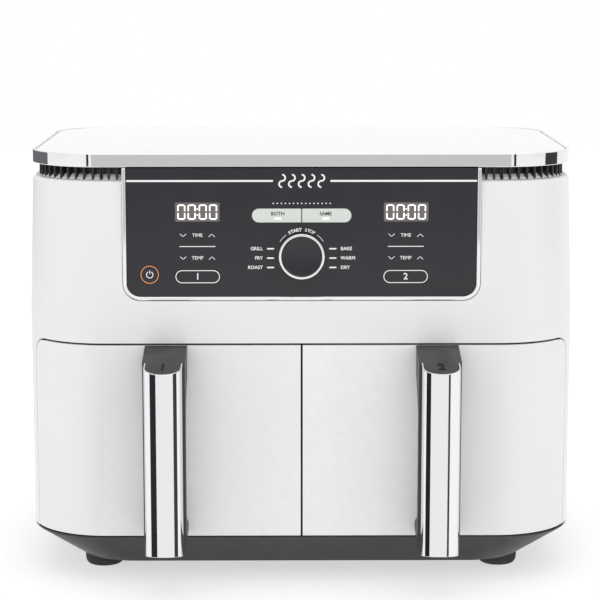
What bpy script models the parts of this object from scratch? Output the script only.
"""Twin-drawer air fryer as an assembly of separate pieces.

Metres. +X is the appliance's right hand side as seen from the front, the front faces -Y, +Z is up.
The origin is on the table, midway between the handles' front and the rear wall.
Side 1 is the drawer at -X and side 2 is the drawer at +X.
"""
import math

import bmesh
import bpy
from mathutils import Matrix, Vector

# ---------------------------------------------------------------- overall sizes
width = 0.415                  # across the housing
body_depth = 0.265             # drawer face to rear wall
height = 0.325                 # table to lid
handle_reach = 0.059           # how far a handle stands in front of the drawer face
corner_radius = 0.060          # front corners of the housing in plan
rear_corner_radius = 0.055
shell_wall = 0.0025
fit = 0.0003                   # clearance where two pieces meet
shut_line = 0.0015             # visible gap round a drawer front
arc_steps = 10                 # segments in a quarter circle of the large outlines
small_arc_steps = 4
basket_arc_steps = 6
clear = 0.01                   # how far a cutting shape runs past a face

# ---------------------------------------------------------------- heights
foot_height = 0.010
base_height = 0.0248
base_line = 0.0010             # gap between base and drawer front
upper_housing_height = 0.1212
vent_gap = 0.0098              # louvred band between housing and lid
lid_height = 0.0105
lid_crown = 0.0005             # lid panel above its trim
taper_height = 0.1021          # part of the upper housing that leans inwards
taper_inset = 0.0035

# ---------------------------------------------------------------- base and feet
base_floor = 0.0025
base_wall = 0.0035
base_side_slope = 0.037        # how far the base draws in at the table, at the sides
base_end_slope = 0.019         # and at the front and rear
base_belt = 0.0012             # upright part of the base under the housing
base_belt_inset = 0.0008
base_corner_radius = 0.045
rib_thickness = 0.003
rib_count = 4
rib_end_space = 0.042          # rib end to housing side
foot_radius = 0.015
foot_sole_radius = 0.012
foot_side_space = 0.054        # foot centre to housing side
foot_front_space = 0.0535      # foot centre to drawer face and to rear wall

# ---------------------------------------------------------------- housing openings
ledge_width = 0.0135           # inner ledge that carries the louvred band
ledge_thickness = 0.0025
vent_inset = 0.009
vent_wall = 0.0025
lid_trim_wall = 0.002
lid_rim = 0.0117
lid_skin = 0.003
lid_edge_radius = 0.0015
rear_cover_side_space = 0.057
rear_cover_bottom = 0.024      # above the housing's lower edge
rear_cover_top = 0.005         # below the crease
rear_cover_radius = 0.012
rear_cover_thickness = 0.003
rear_cover_recess = 0.002
slot_count = 8
slot_height = 0.003
slot_pitch = 0.0075
slot_margin = 0.018            # slot end to cover edge, and half the gap between the two slot fields
slot_centre_drop = 0.045       # middle slot below the cover's upper edge
lid_edge_steps = 3
foot_bulge_height = 0.6        # share of a foot's height that is domed

# ---------------------------------------------------------------- control panel
panel_side_space = 0.075       # bezel to housing side
panel_height = 0.0985
bezel_width = 0.003
bezel_depth = 0.006
bezel_stand = 0.0002           # bezel front behind the drawer face
bezel_radius = 0.013
panel_recess = 0.0006          # panel face behind the bezel face
panel_thickness = 0.0025
panel_pocket_depth = 0.024     # room behind the drawer face for the panel's parts
display_width = 0.0336
display_height = 0.0148
display_edge_space = 0.0555    # column centre to bezel edge
display_rise = 0.0661          # above the panel's lower edge
lens_depth = 0.0035
zone_width = 0.0335
zone_height = 0.0103
zone_rise = 0.0180
key_height = 0.0103            # pair of link keys in one pill
key_rise = 0.0635
key_end_space = 0.0235         # pill end to display edge
key_split = 0.0006
power_radius = 0.0070
power_edge_space = 0.020
power_rise = 0.0195
button_proud = 0.0004
button_depth = 0.0045
button_stem_radius = 0.0016
button_lap = 0.001             # stem sunk into its cap
button_travel = 0.0006
carrier_margin = 0.0075
carrier_wall = 0.002
carrier_depth = 0.0095
board_thickness = 0.0016
board_margin = 0.002

# ---------------------------------------------------------------- dial
dial_rise = 0.0337
dial_radius = 0.0148
dial_ring_width = 0.0018
dial_thickness = 0.0065
dial_travel = 0.001
dial_shaft_radius = 0.003
dial_socket_depth = 0.004
dial_hole_clearance = 0.0015
dial_edge = 0.001              # chamfer round the dial's face
dial_ring_recess = 0.0008      # ring behind the dial's face
dial_steps = 36
encoder_size = 0.012
encoder_depth = 0.006

# ---------------------------------------------------------------- drawers
drawer_skin = 0.003
drawer_wrap = 0.034            # how far a drawer front runs round the housing's side
wrap_corner = 0.012
inner_panel_depth = 0.017
inner_panel_inset = 0.0067     # from the centre line and from the front's edges
inner_panel_side_space = 0.021
gasket_width = 0.0024
gasket_inset = 0.0006
liner_front_depth = 0.026      # liner behind the drawer face
liner_rear_space = 0.030
liner_centre_space = 0.005
liner_side_space = 0.0195
liner_wall = 0.0012
liner_floor = 0.0037
liner_ceiling_rise = 0.033     # above the housing's lower lip
mouth_margin = 0.0070
mouth_drop = 0.013             # mouth below the housing's lower lip
basket_gap = 0.0015            # basket to the mouth's sides
basket_glide = 0.0008          # basket above the liner floor
basket_rim_drop = 0.005        # basket rim below the mouth
basket_rear_gap = 0.006
basket_wall = 0.0015
basket_radius = 0.022
crisper_gap = 0.001
crisper_thickness = 0.0015
crisper_rise = 0.012
crisper_leg_radius = 0.004
crisper_leg_inset = 0.020
crisper_hole_radius = 0.005
crisper_holes_across = 4
crisper_holes_deep = 5
crisper_hole_margin = 0.028

# ---------------------------------------------------------------- handles
handle_centre = 0.1010
handle_width = 0.0314
cover_radius = 0.014
cover_wall = 0.0012
cover_side = 0.009             # straight part of the cover behind its round front
cover_bottom_rise = 0.0002     # nose of the cover above the drawer's lower edge
cover_foot_drop = 0.0045       # the cover's lower end falls by this towards the drawer
cover_rim = 0.0002             # cover's upper end above the cap
grip_back_depth = 0.008
arm_slope_drop = 0.0105        # cap's fall from the drawer front's upper edge to its nose
arm_root_thickness = 0.021
arm_web_drop = 0.020           # the arm's underside falls by this from the drawer to the grip
arm_front_thickness = 0.0024
lower_arm_thickness = 0.012
lower_arm_rise = 0.0022        # lower arm's root above the drawer's lower edge
lower_arm_web = 0.005          # its upper side rises by this from the drawer to the grip
heel_drop = 0.0028             # handle's lower end below the drawer's lower edge
arm_fillet = 0.006
cap_nose = 0.003               # length of the rounded edge of the cap
handle_steps = 10              # segments of a half round
bar_depth = 0.003              # how far the bar inside the cover laps into the core

# ---------------------------------------------------------------- heating and air
heater_drop = 0.024            # below the liner's ceiling
heater_radius = 0.058
heater_tube_radius = 0.0035
terminal_radius = 0.0028
terminal_spacing = 0.024
terminal_height = 0.008        # above the liner
heater_steps = 36
heater_section_steps = 8
bay_steps = 32                 # segments round a fan and a motor
guard_drop = 0.035
guard_radius = 0.070
guard_thickness = 0.0016
guard_slots = 12
guard_slot_width = 0.009
guard_slot_start = 0.016
guard_slot_end = 0.061
guard_slot_stagger = 0.012     # every second slot starts this much further out
guard_post_radius = 0.002
guard_post_circle = 0.066
guard_posts = 3
guard_post_start = 30          # degrees
fan_drop = 0.006
fan_radius = 0.052
fan_disc_thickness = 0.0012
fan_hub_radius = 0.009
fan_blades = 8
fan_blade_height = 0.009
fan_blade_thickness = 0.0014
fan_blade_inset = 0.002        # blade tip to disc edge
shaft_radius = 0.003
shaft_engagement = 0.010
motor_radius = 0.028
motor_height = 0.034
thermistor_radius = 0.0015
thermistor_offset = 0.078
thermistor_drop = 0.012
thermistor_stand = 0.006
switch_size = (0.0075, 0.012, 0.020)
switch_rise = 0.060
switch_setback = 0.020         # behind the liner's front
power_board_size = (0.090, 0.110, 0.0016)
power_board_parts = ((-0.025, -0.020, 0.030, 0.028, 0.022), (0.020, 0.018, 0.036, 0.030, 0.014))
inlet_flange_radius = 0.011
inlet_radius = 0.0075
inlet_bore = 0.0036
inlet_length = 0.020
inlet_flange = 0.0015
inlet_side_offset = 0.110
inlet_rise = 0.022

# ---------------------------------------------------------------- derived places
half = width / 2
front = handle_reach - (body_depth + handle_reach) / 2
rear = front + body_depth
base_top = foot_height + base_height
drawer_bottom = base_top + base_line
lid_bottom = height - lid_height
shell_top = lid_bottom - vent_gap
shell_bottom = base_top + fit
lip = shell_top - upper_housing_height
crease = shell_top - taper_height
drawer_top = lip - shut_line
panel_half = half - panel_side_space
panel_top = lid_bottom - fit
panel_bottom = panel_top - panel_height
bezel_front = front + bezel_stand
panel_front = bezel_front + panel_recess
panel_back = panel_front + panel_thickness
board_front = panel_back + fit + carrier_depth + fit
liner_front = front + liner_front_depth
liner_rear = rear - liner_rear_space
liner_bottom = drawer_bottom + liner_wall / 2
liner_inner = liner_centre_space
liner_outer = half - liner_side_space
ceiling = lip + liner_ceiling_rise
mouth_bottom = liner_bottom + liner_floor
mouth_top = lip - mouth_drop
inner_back = front + drawer_skin + fit + inner_panel_depth
bay_centre = (liner_inner + liner_outer) / 2
bay_middle = (liner_front + liner_rear) / 2
column = panel_half - display_edge_space

white_plastic = ((0.86, 0.86, 0.85), 0.35, 0.0)
gloss_white = ((0.92, 0.92, 0.92), 0.12, 0.0)
dark_plastic = ((0.045, 0.045, 0.05), 0.45, 0.0)
panel_gloss = ((0.035, 0.034, 0.042), 0.12, 0.0)
chrome = ((0.82, 0.82, 0.83), 0.08, 1.0)
steel = ((0.55, 0.55, 0.56), 0.30, 1.0)
coated_metal = ((0.05, 0.05, 0.052), 0.40, 0.6)
black_rubber = ((0.02, 0.02, 0.02), 0.80, 0.0)
silicone = ((0.10, 0.10, 0.11), 0.70, 0.0)
lens_grey = ((0.17, 0.16, 0.16), 0.10, 0.0)
key_grey = ((0.66, 0.70, 0.67), 0.40, 0.0)
board_green = ((0.03, 0.16, 0.07), 0.55, 0.0)


# ---------------------------------------------------------------- modelling helpers
def outline(x0, x1, y0, y1, radii, steps=arc_steps):
    """Counter-clockwise rectangle; radii are for the corners (x0,y0), (x1,y0), (x1,y1), (x0,y1)."""
    corners = ((x0, y0, 1, 1, 180), (x1, y0, -1, 1, 270), (x1, y1, -1, -1, 0), (x0, y1, 1, -1, 90))
    points = []
    for (x, y, inward_x, inward_y, start), radius in zip(corners, radii):
        if radius <= 0:
            points.append((x, y))
            continue
        for step in range(steps + 1):
            angle = math.radians(start + 90 * step / steps)
            centre_x = x + inward_x * radius
            centre_y = y + inward_y * radius
            points.append((centre_x + radius * math.cos(angle), centre_y + radius * math.sin(angle)))
    return points


def plan(inset):
    """Housing outline drawn in by inset."""
    front_radius = corner_radius - inset
    rear_radius = rear_corner_radius - inset
    radii = (front_radius, front_radius, rear_radius, rear_radius)
    return outline(-half + inset, half - inset, front + inset, rear - inset, radii)


def circle(x, y, radius, steps=24):
    """Counter-clockwise circle."""
    turn = [2 * math.pi * step / steps for step in range(steps)]
    return [(x + radius * math.cos(angle), y + radius * math.sin(angle)) for angle in turn]


def prism(shape, low, high, axis="Z", bm=None):
    """Solid with a flat outline: (x, y) swept along Z, (x, z) along Y, or (y, z) along X."""
    bm = bm or bmesh.new()
    place = {"Z": lambda a, b: (a, b, low), "Y": lambda a, b: (a, low, b), "X": lambda a, b: (low, a, b)}
    sweep = {"Z": (0, 0, 1), "Y": (0, 1, 0), "X": (1, 0, 0)}
    face = bm.faces.new([bm.verts.new(place[axis](a, b)) for a, b in shape])
    grown = bmesh.ops.extrude_face_region(bm, geom=[face])
    moved = [item for item in grown["geom"] if isinstance(item, bmesh.types.BMVert)]
    bmesh.ops.translate(bm, verts=moved, vec=Vector(sweep[axis]) * (high - low))
    return bm


def box(x0, x1, y0, y1, z0, z1, bm=None):
    """Rectangular block."""
    return prism(((x0, y0), (x1, y0), (x1, y1), (x0, y1)), z0, z1, bm=bm)


def loft(levels):
    """Solid through several outlines with the same number of points, each with its height."""
    bm = bmesh.new()
    rings = []
    for shape, z in levels:
        verts = [bm.verts.new((x, y, z)) for x, y in shape]
        rings.append([bm.edges.new((verts[i - 1], verts[i])) for i in range(len(verts))])
    for lower, upper in zip(rings, rings[1:]):
        bmesh.ops.bridge_loops(bm, edges=lower + upper)
    bmesh.ops.holes_fill(bm, edges=rings[0] + rings[-1], sides=0)
    return bm


def turned(profile, steps=24, axis="Z", place=(0, 0, 0)):
    """Solid of revolution from (radius, height) points, about Z or laid along Y."""
    part = bmesh.new()
    verts = [part.verts.new((radius, 0, z)) for radius, z in profile]
    edges = [part.edges.new(pair) for pair in zip(verts, verts[1:])]
    bmesh.ops.spin(part, geom=verts + edges, cent=(0, 0, 0), axis=(0, 0, 1), angle=2 * math.pi,
                   steps=steps, use_merge=True, use_duplicate=False)
    bmesh.ops.remove_doubles(part, verts=part.verts, dist=0.000001)
    if axis == "Y":
        bmesh.ops.rotate(part, verts=part.verts, matrix=Matrix.Rotation(-math.pi / 2, 3, "X"))
    bmesh.ops.translate(part, verts=part.verts, vec=place)
    return part


def place_round(bm, part, turn, centre):
    """Put a shape into another after a part of a full turn about a bay's centre."""
    bmesh.ops.rotate(part, verts=part.verts, matrix=Matrix.Rotation(2 * math.pi * turn, 3, "Z"))
    bmesh.ops.translate(part, verts=part.verts, vec=(centre, bay_middle, 0))
    joined = bpy.data.meshes.new("joined")
    part.to_mesh(joined)
    part.free()
    bm.from_mesh(joined)
    bpy.data.meshes.remove(joined)


def link(name, bm):
    """Object from a bmesh, with outward faces."""
    bmesh.ops.recalc_face_normals(bm, faces=bm.faces)
    mesh = bpy.data.meshes.new(name)
    bm.to_mesh(mesh)
    bm.free()
    thing = bpy.data.objects.new(name, mesh)
    bpy.context.scene.collection.objects.link(thing)
    return thing


def piece(name, bm, look):
    """Named piece with a material of its own."""
    thing = link(name, bm)
    colour, roughness, metallic = look
    material = bpy.data.materials.new(name + "_finish")
    material.use_nodes = True
    shader = material.node_tree.nodes["Principled BSDF"]
    shader.inputs["Base Color"].default_value = (*colour, 1.0)
    shader.inputs["Roughness"].default_value = roughness
    shader.inputs["Metallic"].default_value = metallic
    thing.data.materials.append(material)
    thing.data.shade_smooth()
    thing.data.set_sharp_from_angle(angle=math.radians(32))
    return thing


def combine(target, bm, operation):
    """Boolean modifier on the target, with a hidden tool object."""
    tool = link(f"tool_{target.name}_{len(target.modifiers)}", bm)
    tool.hide_render = True
    tool.display_type = "WIRE"
    modifier = target.modifiers.new(operation.lower(), "BOOLEAN")
    modifier.operation = operation
    modifier.solver = "EXACT"
    modifier.object = tool
    return target


def cut(target, bm):
    """Take a shape away from the target."""
    return combine(target, bm, "DIFFERENCE")


def add(target, bm):
    """Join a shape to the target."""
    return combine(target, bm, "UNION")


def pivot(name, place):
    """Empty on a joint's axis."""
    empty = bpy.data.objects.new(name, None)
    empty.location = place
    empty.empty_display_size = 0.02
    bpy.context.scene.collection.objects.link(empty)
    return empty


def carry(empty, pieces):
    """Parent pieces to an empty, with their own origins on its axis."""
    bpy.context.view_layer.update()
    origin = empty.matrix_world.translation
    for thing in pieces:
        thing.data.transform(Matrix.Translation(-origin))
        thing.parent = empty


def side_range(side, inner, outer):
    """Lower and upper X of something between two distances from the centre line."""
    return tuple(sorted((side * inner, side * outer)))


# ---------------------------------------------------------------- base
def make_base():
    """Tray with a sloping skirt and ribs that carry the liners."""
    slope_radii = (base_corner_radius,) * 4

    def skirt(inset):
        side = base_side_slope + inset
        end = base_end_slope + inset
        return outline(-half + side, half - side, front + end, rear - end, slope_radii)

    belt = base_top - base_belt
    levels = ((skirt(0), foot_height), (plan(base_belt_inset), belt), (plan(2 * fit), base_top))
    base = piece("base_pan", loft(levels), dark_plastic)
    floor = foot_height + base_floor
    hollow = ((skirt(base_wall), floor), (plan(base_belt_inset + base_wall), belt + base_wall / 2),
              (plan(base_belt_inset + base_wall), base_top + base_wall))
    cut(base, loft(hollow))
    ribs = bmesh.new()
    rib_end = half - rib_end_space
    for index in range(rib_count):
        y = liner_front + (liner_rear - liner_front) * (index + 0.5) / rib_count
        box(-rib_end, rib_end, y - rib_thickness / 2, y + rib_thickness / 2,
            floor - base_floor / 2, liner_bottom - fit, bm=ribs)
    add(base, ribs)


def make_feet():
    """Four domed rubber feet with flat soles."""
    top = foot_height - fit
    profile = [(0, 0), (foot_sole_radius, 0)]
    bulge = foot_radius - foot_sole_radius
    for step in range(1, small_arc_steps + 1):
        angle = math.radians(90 * step / small_arc_steps)
        rise = top * foot_bulge_height * (1 - math.cos(angle))
        profile.append((foot_sole_radius + bulge * math.sin(angle), rise))
    profile += [(foot_radius, top), (0, top)]
    x = half - foot_side_space
    near = front + foot_front_space
    far = rear - foot_front_space
    places = {"foot_front_left": (-x, near), "foot_front_right": (x, near),
              "foot_rear_left": (-x, far), "foot_rear_right": (x, far)}
    for name, (foot_x, foot_y) in places.items():
        foot = piece(name, turned(profile), black_rubber)
        foot.location = (foot_x, foot_y, 0)


# ---------------------------------------------------------------- housing
def panel_shape(inset, top):
    """Control panel outline in (x, z), rounded at its lower corners."""
    radius = bezel_radius - inset
    return outline(-panel_half + inset, panel_half - inset, panel_bottom + inset, top,
                   (radius, radius, 0, 0), small_arc_steps)


def make_shell():
    """One-piece white housing: band above the drawers, and the side and rear walls."""
    levels = ((plan(0), shell_bottom), (plan(0), crease), (plan(taper_inset), shell_top))
    shell = piece("outer_shell", loft(levels), white_plastic)
    ledge = shell_top - ledge_thickness
    hollow = ((plan(shell_wall), shell_bottom - clear), (plan(shell_wall), crease),
              (plan(taper_inset + shell_wall), ledge))
    cut(shell, loft(hollow))
    cut(shell, prism(plan(taper_inset + ledge_width), ledge - clear / 2, shell_top + clear))
    wrap_end = front + drawer_wrap + shut_line
    drawer_opening = box(-width, width, front - clear, wrap_end, shell_bottom - clear, lip)
    corner = [edge for edge in drawer_opening.edges
              if all(abs(v.co.y - wrap_end) < fit and abs(v.co.z - lip) < fit for v in edge.verts)]
    bmesh.ops.bevel(drawer_opening, geom=corner, offset=wrap_corner + shut_line, affect="EDGES",
                    segments=small_arc_steps, profile=0.5, material=-1)
    cut(shell, drawer_opening)
    pocket = panel_shape(-fit, shell_top + clear)
    cut(shell, prism(pocket, front - clear, front + panel_pocket_depth, "Y"))
    cut(shell, prism(rear_cover_shape(-fit), rear - 2 * clear, rear + clear, "Y"))


def rear_cover_shape(inset):
    """Rear cover outline in (x, z)."""
    reach = half - rear_cover_side_space - inset
    low = shell_bottom + rear_cover_bottom + inset
    high = crease - rear_cover_top - inset
    return outline(-reach, reach, low, high, (rear_cover_radius,) * 4, small_arc_steps)


def make_rear_cover():
    """Dark rear cover with two fields of exhaust slots and the hole for the cord inlet."""
    outer = rear - rear_cover_recess
    sheet = prism(rear_cover_shape(0), outer - rear_cover_thickness, outer, "Y")
    cover = piece("rear_cover", sheet, dark_plastic)
    slots = bmesh.new()
    reach = half - rear_cover_side_space - slot_margin
    middle = crease - rear_cover_top - slot_centre_drop
    for side in (-1, 1):
        x0, x1 = side_range(side, slot_margin, reach)
        for index in range(slot_count):
            z = middle + slot_pitch * (index - (slot_count - 1) / 2)
            low = z - slot_height / 2
            box(x0, x1, outer - clear, outer + clear, low, low + slot_height, bm=slots)
    cut(cover, slots)
    inlet_z = shell_bottom + rear_cover_bottom + inlet_rise
    hole = circle(inlet_side_offset, inlet_z, inlet_radius + fit)
    cut(cover, prism(hole, outer - clear, outer + clear, "Y"))
    neck = inlet_length + fit
    end = neck + inlet_flange
    profile = ((inlet_bore, 0), (inlet_radius, 0), (inlet_radius, neck), (inlet_flange_radius, neck),
               (inlet_flange_radius, end), (inlet_bore, end), (inlet_bore, 0))
    inlet = piece("cord_inlet", turned(profile, axis="Y"), black_rubber)
    inlet.location = (inlet_side_offset, outer - inlet_length, inlet_z)


def make_lid():
    """Louvred band, lid trim and lid panel."""
    inset = taper_inset + vent_inset
    pocket = panel_shape(-fit, shell_top + vent_gap + clear)
    band = piece("vent_ring", prism(plan(inset), shell_top + fit, lid_bottom - fit), dark_plastic)
    cut(band, prism(plan(inset + vent_wall), shell_top - clear, lid_bottom + clear))
    cut(band, prism(pocket, front - clear, front + panel_pocket_depth, "Y"))
    trim = piece("lid_trim", prism(plan(taper_inset), lid_bottom, height - lid_crown), chrome)
    cut(trim, prism(plan(taper_inset + lid_trim_wall), lid_bottom - clear, height + clear))
    panel_inset = taper_inset + lid_trim_wall + fit
    slab = prism(plan(panel_inset), lid_bottom, height)
    rim = [edge for edge in slab.edges if all(v.co.z > height - fit for v in edge.verts)]
    bmesh.ops.bevel(slab, geom=rim, offset=lid_edge_radius, affect="EDGES", segments=lid_edge_steps,
                    profile=0.5, material=-1)
    lid = piece("lid_panel", slab, gloss_white)
    cut(lid, prism(plan(panel_inset + lid_rim), lid_bottom - clear, height - lid_skin))


# ---------------------------------------------------------------- control panel
def pill(x, z, length, tall, round_left=True, round_right=True, grow=0.0):
    """Key outline in (x, z) with round or straight ends."""
    radius = tall / 2 + grow
    left = radius if round_left else 0
    right = radius if round_right else 0
    return outline(x - length / 2 - grow, x + length / 2 + grow, z - radius, z + radius,
                   (left, right, right, left), small_arc_steps)


def make_panel():
    """Bezel, panel, lenses, carrier and control board."""
    slab = prism(panel_shape(0, panel_top), bezel_front, bezel_front + bezel_depth, "Y")
    frame = piece("panel_bezel", slab, chrome)
    cut(frame, prism(panel_shape(bezel_width, panel_top + clear), front - clear, front + 2 * clear, "Y"))
    face = prism(panel_shape(bezel_width + fit, panel_top), panel_front, panel_back, "Y")
    panel = piece("control_panel", face, panel_gloss)
    openings = bmesh.new()
    through = (panel_front - clear, panel_back + clear, "Y")
    display_z = panel_bottom + display_rise
    for side in (-1, 1):
        x = side * column
        window = (x - display_width / 2, x + display_width / 2,
                  display_z - display_height / 2, display_z + display_height / 2)
        prism(outline(*window, (fit,) * 4, 1), *through, bm=openings)
        prism(pill(x, panel_bottom + zone_rise, zone_width, zone_height, grow=fit), *through, bm=openings)
        x0, x1, z0, z1 = window
        lens_shape = outline(x0 + fit, x1 - fit, z0 + fit, z1 - fit, (fit,) * 4, 1)
        name = "display_lens_1" if side < 0 else "display_lens_2"
        piece(name, prism(lens_shape, panel_front, panel_front + lens_depth, "Y"), lens_grey)
    keys_length = 2 * (column - display_width / 2 - key_end_space)
    prism(pill(0, panel_bottom + key_rise, keys_length, key_height, grow=fit), *through, bm=openings)
    power_hole = circle(-panel_half + power_edge_space, panel_bottom + power_rise, power_radius + fit)
    prism(power_hole, *through, bm=openings)
    dial_hole = circle(0, panel_bottom + dial_rise, dial_shaft_radius + dial_hole_clearance)
    prism(dial_hole, *through, bm=openings)
    cut(panel, openings)

    x = panel_half - carrier_margin
    z0 = panel_bottom + carrier_margin
    z1 = panel_top - carrier_margin
    carrier_front = panel_back + fit
    carrier_box = box(-x, x, carrier_front, carrier_front + carrier_depth, z0, z1)
    carrier = piece("panel_carrier", carrier_box, dark_plastic)
    inside = x - carrier_wall
    cut(carrier, box(-inside, inside, front, board_front + clear, z0 + carrier_wall, z1 - carrier_wall))
    reach = x - board_margin / 2
    board = box(-reach, reach, board_front, board_front + board_thickness,
                z0 + board_margin / 2, z1 - board_margin / 2)
    piece("control_board", board, board_green)


def make_button(name, shape, x, z, look):
    """Key cap with a stem that reaches its switch on the board."""
    cap_front = panel_front - button_proud
    cap_back = panel_front + button_depth
    key = piece(name, prism(shape, cap_front, cap_back, "Y"), look)
    stem_end = board_front - fit - 1.5 * button_travel
    add(key, prism(circle(x, z, button_stem_radius, 12), cap_back - button_lap, stem_end, "Y"))
    carry(pivot(name + "_axis", (x, cap_front, z)), [key])


def make_buttons():
    """Power key, one key for each zone and the two link keys."""
    x = -panel_half + power_edge_space
    z = panel_bottom + power_rise
    make_button("power_button", circle(x, z, power_radius), x, z, panel_gloss)
    z = panel_bottom + zone_rise
    make_button("zone_1_button", pill(-column, z, zone_width, zone_height), -column, z, panel_gloss)
    make_button("zone_2_button", pill(column, z, zone_width, zone_height), column, z, panel_gloss)
    length = column - display_width / 2 - key_end_space - key_split / 2
    x = (length + key_split) / 2
    z = panel_bottom + key_rise
    make_button("sync_button", pill(-x, z, length, key_height, round_right=False), -x, z, key_grey)
    make_button("match_button", pill(x, z, length, key_height, round_left=False), x, z, key_grey)


def make_dial():
    """Turn-and-push dial: shaft in its encoder, knob and bright ring."""
    z = panel_bottom + dial_rise
    knob_back = panel_front - dial_travel - fit
    knob_front = knob_back - dial_thickness
    shaft_front = knob_back - dial_socket_depth
    shaft_back = board_front - dial_travel - 2 * fit
    encoder_back = board_front - fit
    size = encoder_size / 2
    block = box(-size, size, encoder_back - encoder_depth, encoder_back, z - size, z + size)
    encoder = piece("encoder_body", block, dark_plastic)
    cut(encoder, prism(circle(0, z, dial_shaft_radius + fit), front, encoder_back + clear, "Y"))
    shaft = piece("dial_shaft", prism(circle(0, z, dial_shaft_radius), shaft_front, shaft_back, "Y"), steel)
    axis = pivot("dial_push_axis", (0, knob_back, z))
    carry(axis, [shaft])
    thick = dial_thickness
    bore = dial_shaft_radius + fit
    edge = dial_radius
    socket = thick - dial_socket_depth - fit
    profile = ((0, 0), (edge - dial_edge, 0), (edge, dial_edge), (edge, thick), (bore, thick),
               (bore, socket), (0, socket))
    knob = piece("dial_knob", turned(profile, dial_steps, "Y", (0, knob_front, z)), panel_gloss)
    inner = edge + fit
    outer = inner + dial_ring_width
    ring_front = dial_ring_recess
    profile = ((inner, ring_front), (outer, ring_front), (outer, thick), (inner, thick),
               (inner, ring_front))
    ring = piece("dial_ring", turned(profile, dial_steps, "Y", (0, knob_front, z)), chrome)
    carry(pivot("dial_turn_axis", (0, knob_front, z)), [knob, ring])


# ---------------------------------------------------------------- cooking bays
def make_bay(side):
    """Liner of one bay with its heater, guard, fan, temperature probe and drawer switch."""
    number = "1" if side < 0 else "2"
    x0, x1 = side_range(side, liner_inner, liner_outer)
    centre = side * bay_centre
    block = box(x0, x1, liner_front, liner_rear, liner_bottom, ceiling)
    liner = piece("cavity_liner_" + number, block, coated_metal)
    cut(liner, box(x0 + liner_wall, x1 - liner_wall, liner_front + liner_wall, liner_rear - liner_wall,
                   mouth_bottom, ceiling - liner_wall))
    cut(liner, box(x0 + mouth_margin, x1 - mouth_margin, liner_front - clear, liner_front + clear,
                   mouth_bottom, mouth_top))
    through = (ceiling - clear, ceiling + clear)
    holes = prism(circle(centre, bay_middle, shaft_radius + 5 * fit), *through)
    terminal_y = bay_middle - heater_radius
    terminals = [centre - terminal_spacing / 2, centre + terminal_spacing / 2]
    for x in terminals:
        prism(circle(x, terminal_y, terminal_radius + fit, 12), *through, bm=holes)
    probe = (centre, bay_middle + thermistor_offset)
    prism(circle(*probe, thermistor_radius + fit, 12), *through, bm=holes)
    cut(liner, holes)
    make_heater(number, centre, terminals)
    make_guard(number, centre)
    make_fan(number, centre)
    probe_shape = circle(*probe, thermistor_radius, 12)
    probe_ends = (ceiling - thermistor_drop, ceiling + thermistor_stand)
    piece("thermistor_" + number, prism(probe_shape, *probe_ends), steel)
    thick, deep, tall = switch_size
    s0, s1 = side_range(side, liner_outer + fit, liner_outer + fit + thick)
    z = liner_bottom + switch_rise
    y = liner_front + switch_setback
    piece("drawer_switch_" + number, box(s0, s1, y, y + deep, z, z + tall), dark_plastic)


def make_heater(number, centre, terminals):
    """Round heating element with two terminals through the liner."""
    z = ceiling - heater_drop
    section = bmesh.new()
    ring = [section.verts.new((heater_radius + heater_tube_radius * math.cos(turn), 0,
                               heater_tube_radius * math.sin(turn)))
            for turn in (2 * math.pi * step / heater_section_steps for step in range(heater_section_steps))]
    edges = [section.edges.new((ring[i - 1], ring[i])) for i in range(heater_section_steps)]
    bmesh.ops.spin(section, geom=ring + edges, cent=(0, 0, 0), axis=(0, 0, 1), angle=2 * math.pi,
                   steps=heater_steps, use_merge=True, use_duplicate=False)
    bmesh.ops.remove_doubles(section, verts=section.verts, dist=0.000001)
    bmesh.ops.translate(section, verts=section.verts, vec=(centre, bay_middle, z))
    heater = piece("heating_element_" + number, section, steel)
    posts = bmesh.new()
    terminal_y = bay_middle - heater_radius
    post_drop = math.sqrt(heater_radius ** 2 - (terminal_spacing / 2) ** 2)
    for x in terminals:
        prism(circle(x, terminal_y, terminal_radius, 12), z, ceiling + terminal_height, bm=posts)
        box(x - terminal_radius / 2, x + terminal_radius / 2, terminal_y, bay_middle - post_drop,
            z - terminal_radius / 2, z + terminal_radius / 2, bm=posts)
    add(heater, posts)


def make_guard(number, centre):
    """Slotted guard under the heater, hung from the liner on three posts."""
    z = ceiling - guard_drop
    disc = prism(circle(centre, bay_middle, guard_radius, 36), z, z + guard_thickness)
    guard = piece("heater_guard_" + number, disc, steel)
    slots = bmesh.new()
    for index in range(guard_slots):
        start = guard_slot_start + guard_slot_stagger * (index % 2)
        slot = box(start, guard_slot_end, -guard_slot_width / 2, guard_slot_width / 2, z - clear, z + clear)
        place_round(slots, slot, index / guard_slots, centre)
    cut(guard, slots)
    posts = bmesh.new()
    for index in range(guard_posts):
        angle = math.radians(guard_post_start + 360 * index / guard_posts)
        x = centre + guard_post_circle * math.cos(angle)
        y = bay_middle + guard_post_circle * math.sin(angle)
        post_top = ceiling - liner_wall - fit
        prism(circle(x, y, guard_post_radius, 8), z + guard_thickness / 2, post_top, bm=posts)
    add(guard, posts)


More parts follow.
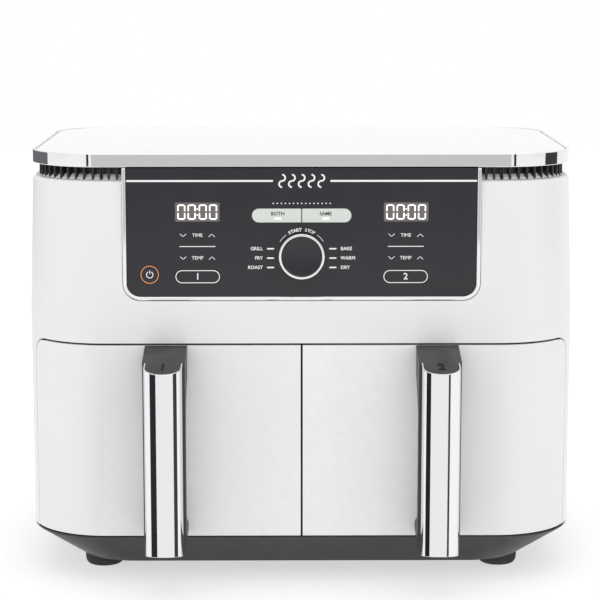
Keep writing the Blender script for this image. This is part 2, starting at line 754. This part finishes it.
def make_fan(number, centre):
    """Fan on its shaft, and the motor on the liner's roof."""
    disc = ceiling - liner_wall - fan_drop
    shaft_top = ceiling + fit + shaft_engagement
    hub_low = disc - fan_blade_height
    disc_top = disc + fan_disc_thickness
    profile = ((0, hub_low), (fan_hub_radius, hub_low), (fan_hub_radius, disc), (fan_radius, disc),
               (fan_radius, disc_top), (shaft_radius, disc_top), (shaft_radius, shaft_top), (0, shaft_top))
    fan = piece("fan_" + number, turned(profile, bay_steps, place=(centre, bay_middle, 0)), steel)
    blades = bmesh.new()
    for index in range(fan_blades):
        half_blade = fan_blade_thickness / 2
        blade = box(fan_hub_radius / 2, fan_radius - fan_blade_inset, -half_blade, half_blade,
                    hub_low + 2 * fit, disc + fan_disc_thickness / 2)
        inner = [v for v in blade.verts if v.co.x < fan_hub_radius]
        bmesh.ops.translate(blade, verts=inner, vec=(fan_hub_radius * 0.3, 0, 0))
        place_round(blades, blade, index / fan_blades, centre)
    add(fan, blades)
    carry(pivot("fan_axis_" + number, (centre, bay_middle, disc)), [fan])

    z = ceiling + fit
    bore = shaft_radius + fit
    socket = z + shaft_engagement + 2 * fit
    profile = ((0, socket), (bore, socket), (bore, z), (motor_radius, z), (motor_radius, z + motor_height),
               (0, z + motor_height))
    piece("fan_motor_" + number, turned(profile, bay_steps, place=(centre, bay_middle, 0)), steel)


def make_power_board():
    """Mains board on the liners, between the motors."""
    across, deep, thick = power_board_size
    z = ceiling + fit
    sheet = box(-across / 2, across / 2, bay_middle - deep / 2, bay_middle + deep / 2, z, z + thick)
    board = piece("power_board", sheet, board_green)
    parts = bmesh.new()
    for x, y, size_x, size_y, tall in power_board_parts:
        low_y = bay_middle + y - size_y / 2
        box(x - size_x / 2, x + size_x / 2, low_y, low_y + size_y, z + thick / 2, z + tall, bm=parts)
    add(board, parts)


# ---------------------------------------------------------------- drawers
def front_shape(side):
    """Plan of a drawer front: flat face, then round the corner to the end of its wrap."""
    centre_x = half - corner_radius
    centre_y = front + corner_radius
    short = corner_radius - drawer_wrap

    def bend(radius):
        end = -math.asin(short / radius)
        turns = [-math.pi / 2 + (end + math.pi / 2) * step / arc_steps for step in range(arc_steps + 1)]
        return [(centre_x + radius * math.cos(turn), centre_y + radius * math.sin(turn)) for turn in turns]

    path = [(shut_line / 2, front)] + bend(corner_radius)
    path += reversed(bend(corner_radius - drawer_skin))
    path.append((shut_line / 2, front + drawer_skin))
    return [(side * x, y) for x, y in path]


def inner_panel_shape(side):
    """Plan of the insulated panel behind a drawer front."""
    radius = corner_radius - drawer_skin - fit
    centre_x = half - corner_radius
    centre_y = front + corner_radius
    outer_x = half - inner_panel_side_space
    last = math.asin((outer_x - centre_x) / radius)
    path = [(inner_panel_inset, centre_y - radius)]
    for step in range(arc_steps + 1):
        turn = last * step / arc_steps
        path.append((centre_x + radius * math.sin(turn), centre_y - radius * math.cos(turn)))
    path += [(outer_x, inner_back), (inner_panel_inset, inner_back)]
    return [(side * x, y) for x, y in path]


def make_drawer(side):
    """One sliding drawer with its handle and basket, and the crisper plate in it."""
    number = "1" if side < 0 else "2"
    skin = prism(front_shape(side), drawer_bottom, drawer_top)
    drawer_front = piece("drawer_front_" + number, skin, white_plastic)
    round_y = front + drawer_wrap - wrap_corner
    round_z = drawer_top - wrap_corner
    beyond = round_y + wrap_corner + clear
    corner = [(beyond, round_z), (beyond, drawer_top + clear), (round_y, drawer_top + clear)]
    corner += fillet(round_y, round_z, wrap_corner, 90, 0, small_arc_steps)
    cut(drawer_front, prism(corner, *side_range(side, 0, width), "X"))
    inner_bottom = drawer_bottom + shut_line
    inner_top = drawer_top - shut_line * 2
    block = prism(inner_panel_shape(side), inner_bottom, inner_top)
    inner = piece("drawer_inner_" + number, block, dark_plastic)

    x0, x1 = side_range(side, liner_inner + mouth_margin, liner_outer - mouth_margin)
    lap = mouth_margin / 2
    bottom = inner_bottom + gasket_inset / 2
    seal_shape = outline(x0 - lap, x1 + lap, bottom, mouth_top + lap, (lap,) * 4, small_arc_steps)
    seal_hole = outline(x0 - lap + gasket_width, x1 + lap - gasket_width, bottom + gasket_width,
                        mouth_top + lap - gasket_width, (fit,) * 4, 1)
    ring = prism(seal_shape, inner_back + fit, liner_front - fit, "Y")
    seal = piece("door_gasket_" + number, ring, silicone)
    cut(seal, prism(seal_hole, inner_back - clear, liner_front + clear, "Y"))

    b0, b1 = x0 + basket_gap, x1 - basket_gap
    basket_front = inner_back + fit
    basket_rear = liner_rear - liner_wall - basket_rear_gap
    basket_bottom = mouth_bottom + basket_glide
    basket_top = mouth_top - basket_rim_drop
    tub_shape = outline(b0, b1, basket_front, basket_rear, (basket_radius,) * 4, basket_arc_steps)
    tub = piece("basket_" + number, prism(tub_shape, basket_bottom, basket_top), coated_metal)
    wall = basket_wall
    hollow = outline(b0 + wall, b1 - wall, basket_front + wall, basket_rear - wall,
                     (basket_radius - wall,) * 4, basket_arc_steps)
    cut(tub, prism(hollow, basket_bottom + wall, basket_top + clear))

    core, cover = make_handle(side, number)
    carry(pivot("drawer_axis_" + number, (side * handle_centre, front, (drawer_bottom + drawer_top) / 2)),
          [drawer_front, inner, seal, tub, core, cover])

    gap = wall + crisper_gap
    radius = basket_radius - gap
    plate_shape = outline(b0 + gap, b1 - gap, basket_front + gap, basket_rear - gap,
                          (radius,) * 4, basket_arc_steps)
    plate_z = basket_bottom + wall + crisper_rise
    sheet = prism(plate_shape, plate_z, plate_z + crisper_thickness)
    plate = piece("crisper_plate_" + number, sheet, coated_metal)
    holes = bmesh.new()
    margin = gap + crisper_hole_margin
    step_x = (b1 - b0 - 2 * margin) / (crisper_holes_across - 1)
    step_y = (basket_rear - basket_front - 2 * margin) / (crisper_holes_deep - 1)
    for across in range(crisper_holes_across):
        for deep in range(crisper_holes_deep):
            x = b0 + margin + step_x * across
            y = basket_front + margin + step_y * deep
            prism(circle(x, y, crisper_hole_radius, 10), plate_z - clear, plate_z + clear, bm=holes)
    cut(plate, holes)
    legs = bmesh.new()
    leg = gap + crisper_leg_inset
    for x in (b0 + leg, b1 - leg):
        for y in (basket_front + leg, basket_rear - leg):
            low = basket_bottom + wall + fit
            prism(circle(x, y, crisper_leg_radius, 10), low, plate_z + crisper_thickness / 2, bm=legs)
    add(plate, legs)
    centre = ((b0 + b1) / 2, (basket_front + basket_rear) / 2, plate_z)
    carry(pivot("crisper_axis_" + number, centre), [plate])


def fillet(x, y, radius, start, end, steps=5):
    """Points along an arc, angles in degrees."""
    turns = [math.radians(start + (end - start) * step / steps) for step in range(steps + 1)]
    return [(x + radius * math.cos(turn), y + radius * math.sin(turn)) for turn in turns]


def slope_ends(bm, low_at, high_at):
    """Bring the two ends of an upright prism to planes that slope along Y."""
    middle = sum(v.co.z for v in bm.verts) / len(bm.verts)
    for v in bm.verts:
        v.co.z = high_at(v.co.y) if v.co.z > middle else low_at(v.co.y)


def make_handle(side, number):
    """Dark handle core with two arms, and the bright half-round cover on its front."""
    x = side * handle_centre
    nose = front - handle_reach
    round_y = nose + cover_radius
    cover_back = round_y + cover_side
    core_front = cover_back + fit
    grip_back = core_front + grip_back_depth
    root = front - fit
    cap_front = nose + cover_wall
    top = drawer_top
    slope = arm_slope_drop / (root - cap_front)
    low = drawer_bottom - heel_drop
    low_root = drawer_bottom + lower_arm_rise
    low_top = low_root + lower_arm_thickness
    cover_bottom = drawer_bottom + cover_bottom_rise
    r = arm_fillet

    def under_cap(y):
        """Height of the cap's sloping underside."""
        return top - arm_slope_drop - arm_front_thickness + slope * (y - cap_front)

    def cover_low(y):
        """Height of the cover's sloping lower end."""
        return cover_bottom - cover_foot_drop * (y - nose) / (cover_back - nose)

    cap_round = cap_front + cap_nose
    cap_low = under_cap(cap_front)
    profile = [(root, top), (cap_round, under_cap(cap_round) + arm_front_thickness),
               (cap_front, cap_low + arm_front_thickness / 2), (cap_front, cap_low),
               (core_front, under_cap(core_front)), (core_front, low), (grip_back, low),
               (root, low_root), (root, low_top)]
    profile += fillet(grip_back + r, low_top + lower_arm_web + r, r, 270, 180)
    web_top = top - arm_root_thickness - arm_web_drop
    profile += fillet(grip_back + r, web_top, r, 180, 135)
    profile.append((root, top - arm_root_thickness))

    def half_round(radius, back):
        """Plan of the cover or of the bar inside it."""
        path = [(x + radius, back)] if back > round_y else []
        return [(x - radius, back)] + fillet(x, round_y, radius, 180, 360, handle_steps) + path

    body = prism(profile, x - handle_width / 2, x + handle_width / 2, "X")
    core = piece("handle_core_" + number, body, dark_plastic)
    inner_radius = cover_radius - cover_wall
    beyond = handle_width / 2 + clear
    ends = half_round(inner_radius - fit, core_front)
    around = [(x - beyond, core_front)] + ends[:-1] + [(x + inner_radius - fit, core_front)]
    around += [(x + beyond, core_front), (x + beyond, nose - clear), (x - beyond, nose - clear)]
    cut(core, prism(around, low - clear, top + clear))
    lap = arm_front_thickness / 2
    bar = prism(half_round(inner_radius - fit, core_front + bar_depth), low, top)
    slope_ends(bar, lambda y: cover_low(y) + lap, lambda y: under_cap(y) + lap)
    add(core, bar)
    shell = prism(half_round(cover_radius, cover_back), low, top)
    slope_ends(shell, cover_low, lambda y: under_cap(y) + arm_front_thickness + cover_rim)
    cover = piece("handle_cover_" + number, shell, chrome)
    inside = half_round(inner_radius, cover_back + clear)
    cut(cover, prism(inside, low - clear, top + clear))
    return core, cover


def build():
    """Make the whole appliance in an empty scene."""
    for thing in list(bpy.data.objects):
        bpy.data.objects.remove(thing, do_unlink=True)
    make_base()
    make_feet()
    make_shell()
    make_rear_cover()
    make_lid()
    make_panel()
    make_buttons()
    make_dial()
    for side in (-1, 1):
        make_bay(side)
        make_drawer(side)
    make_power_board()


build()
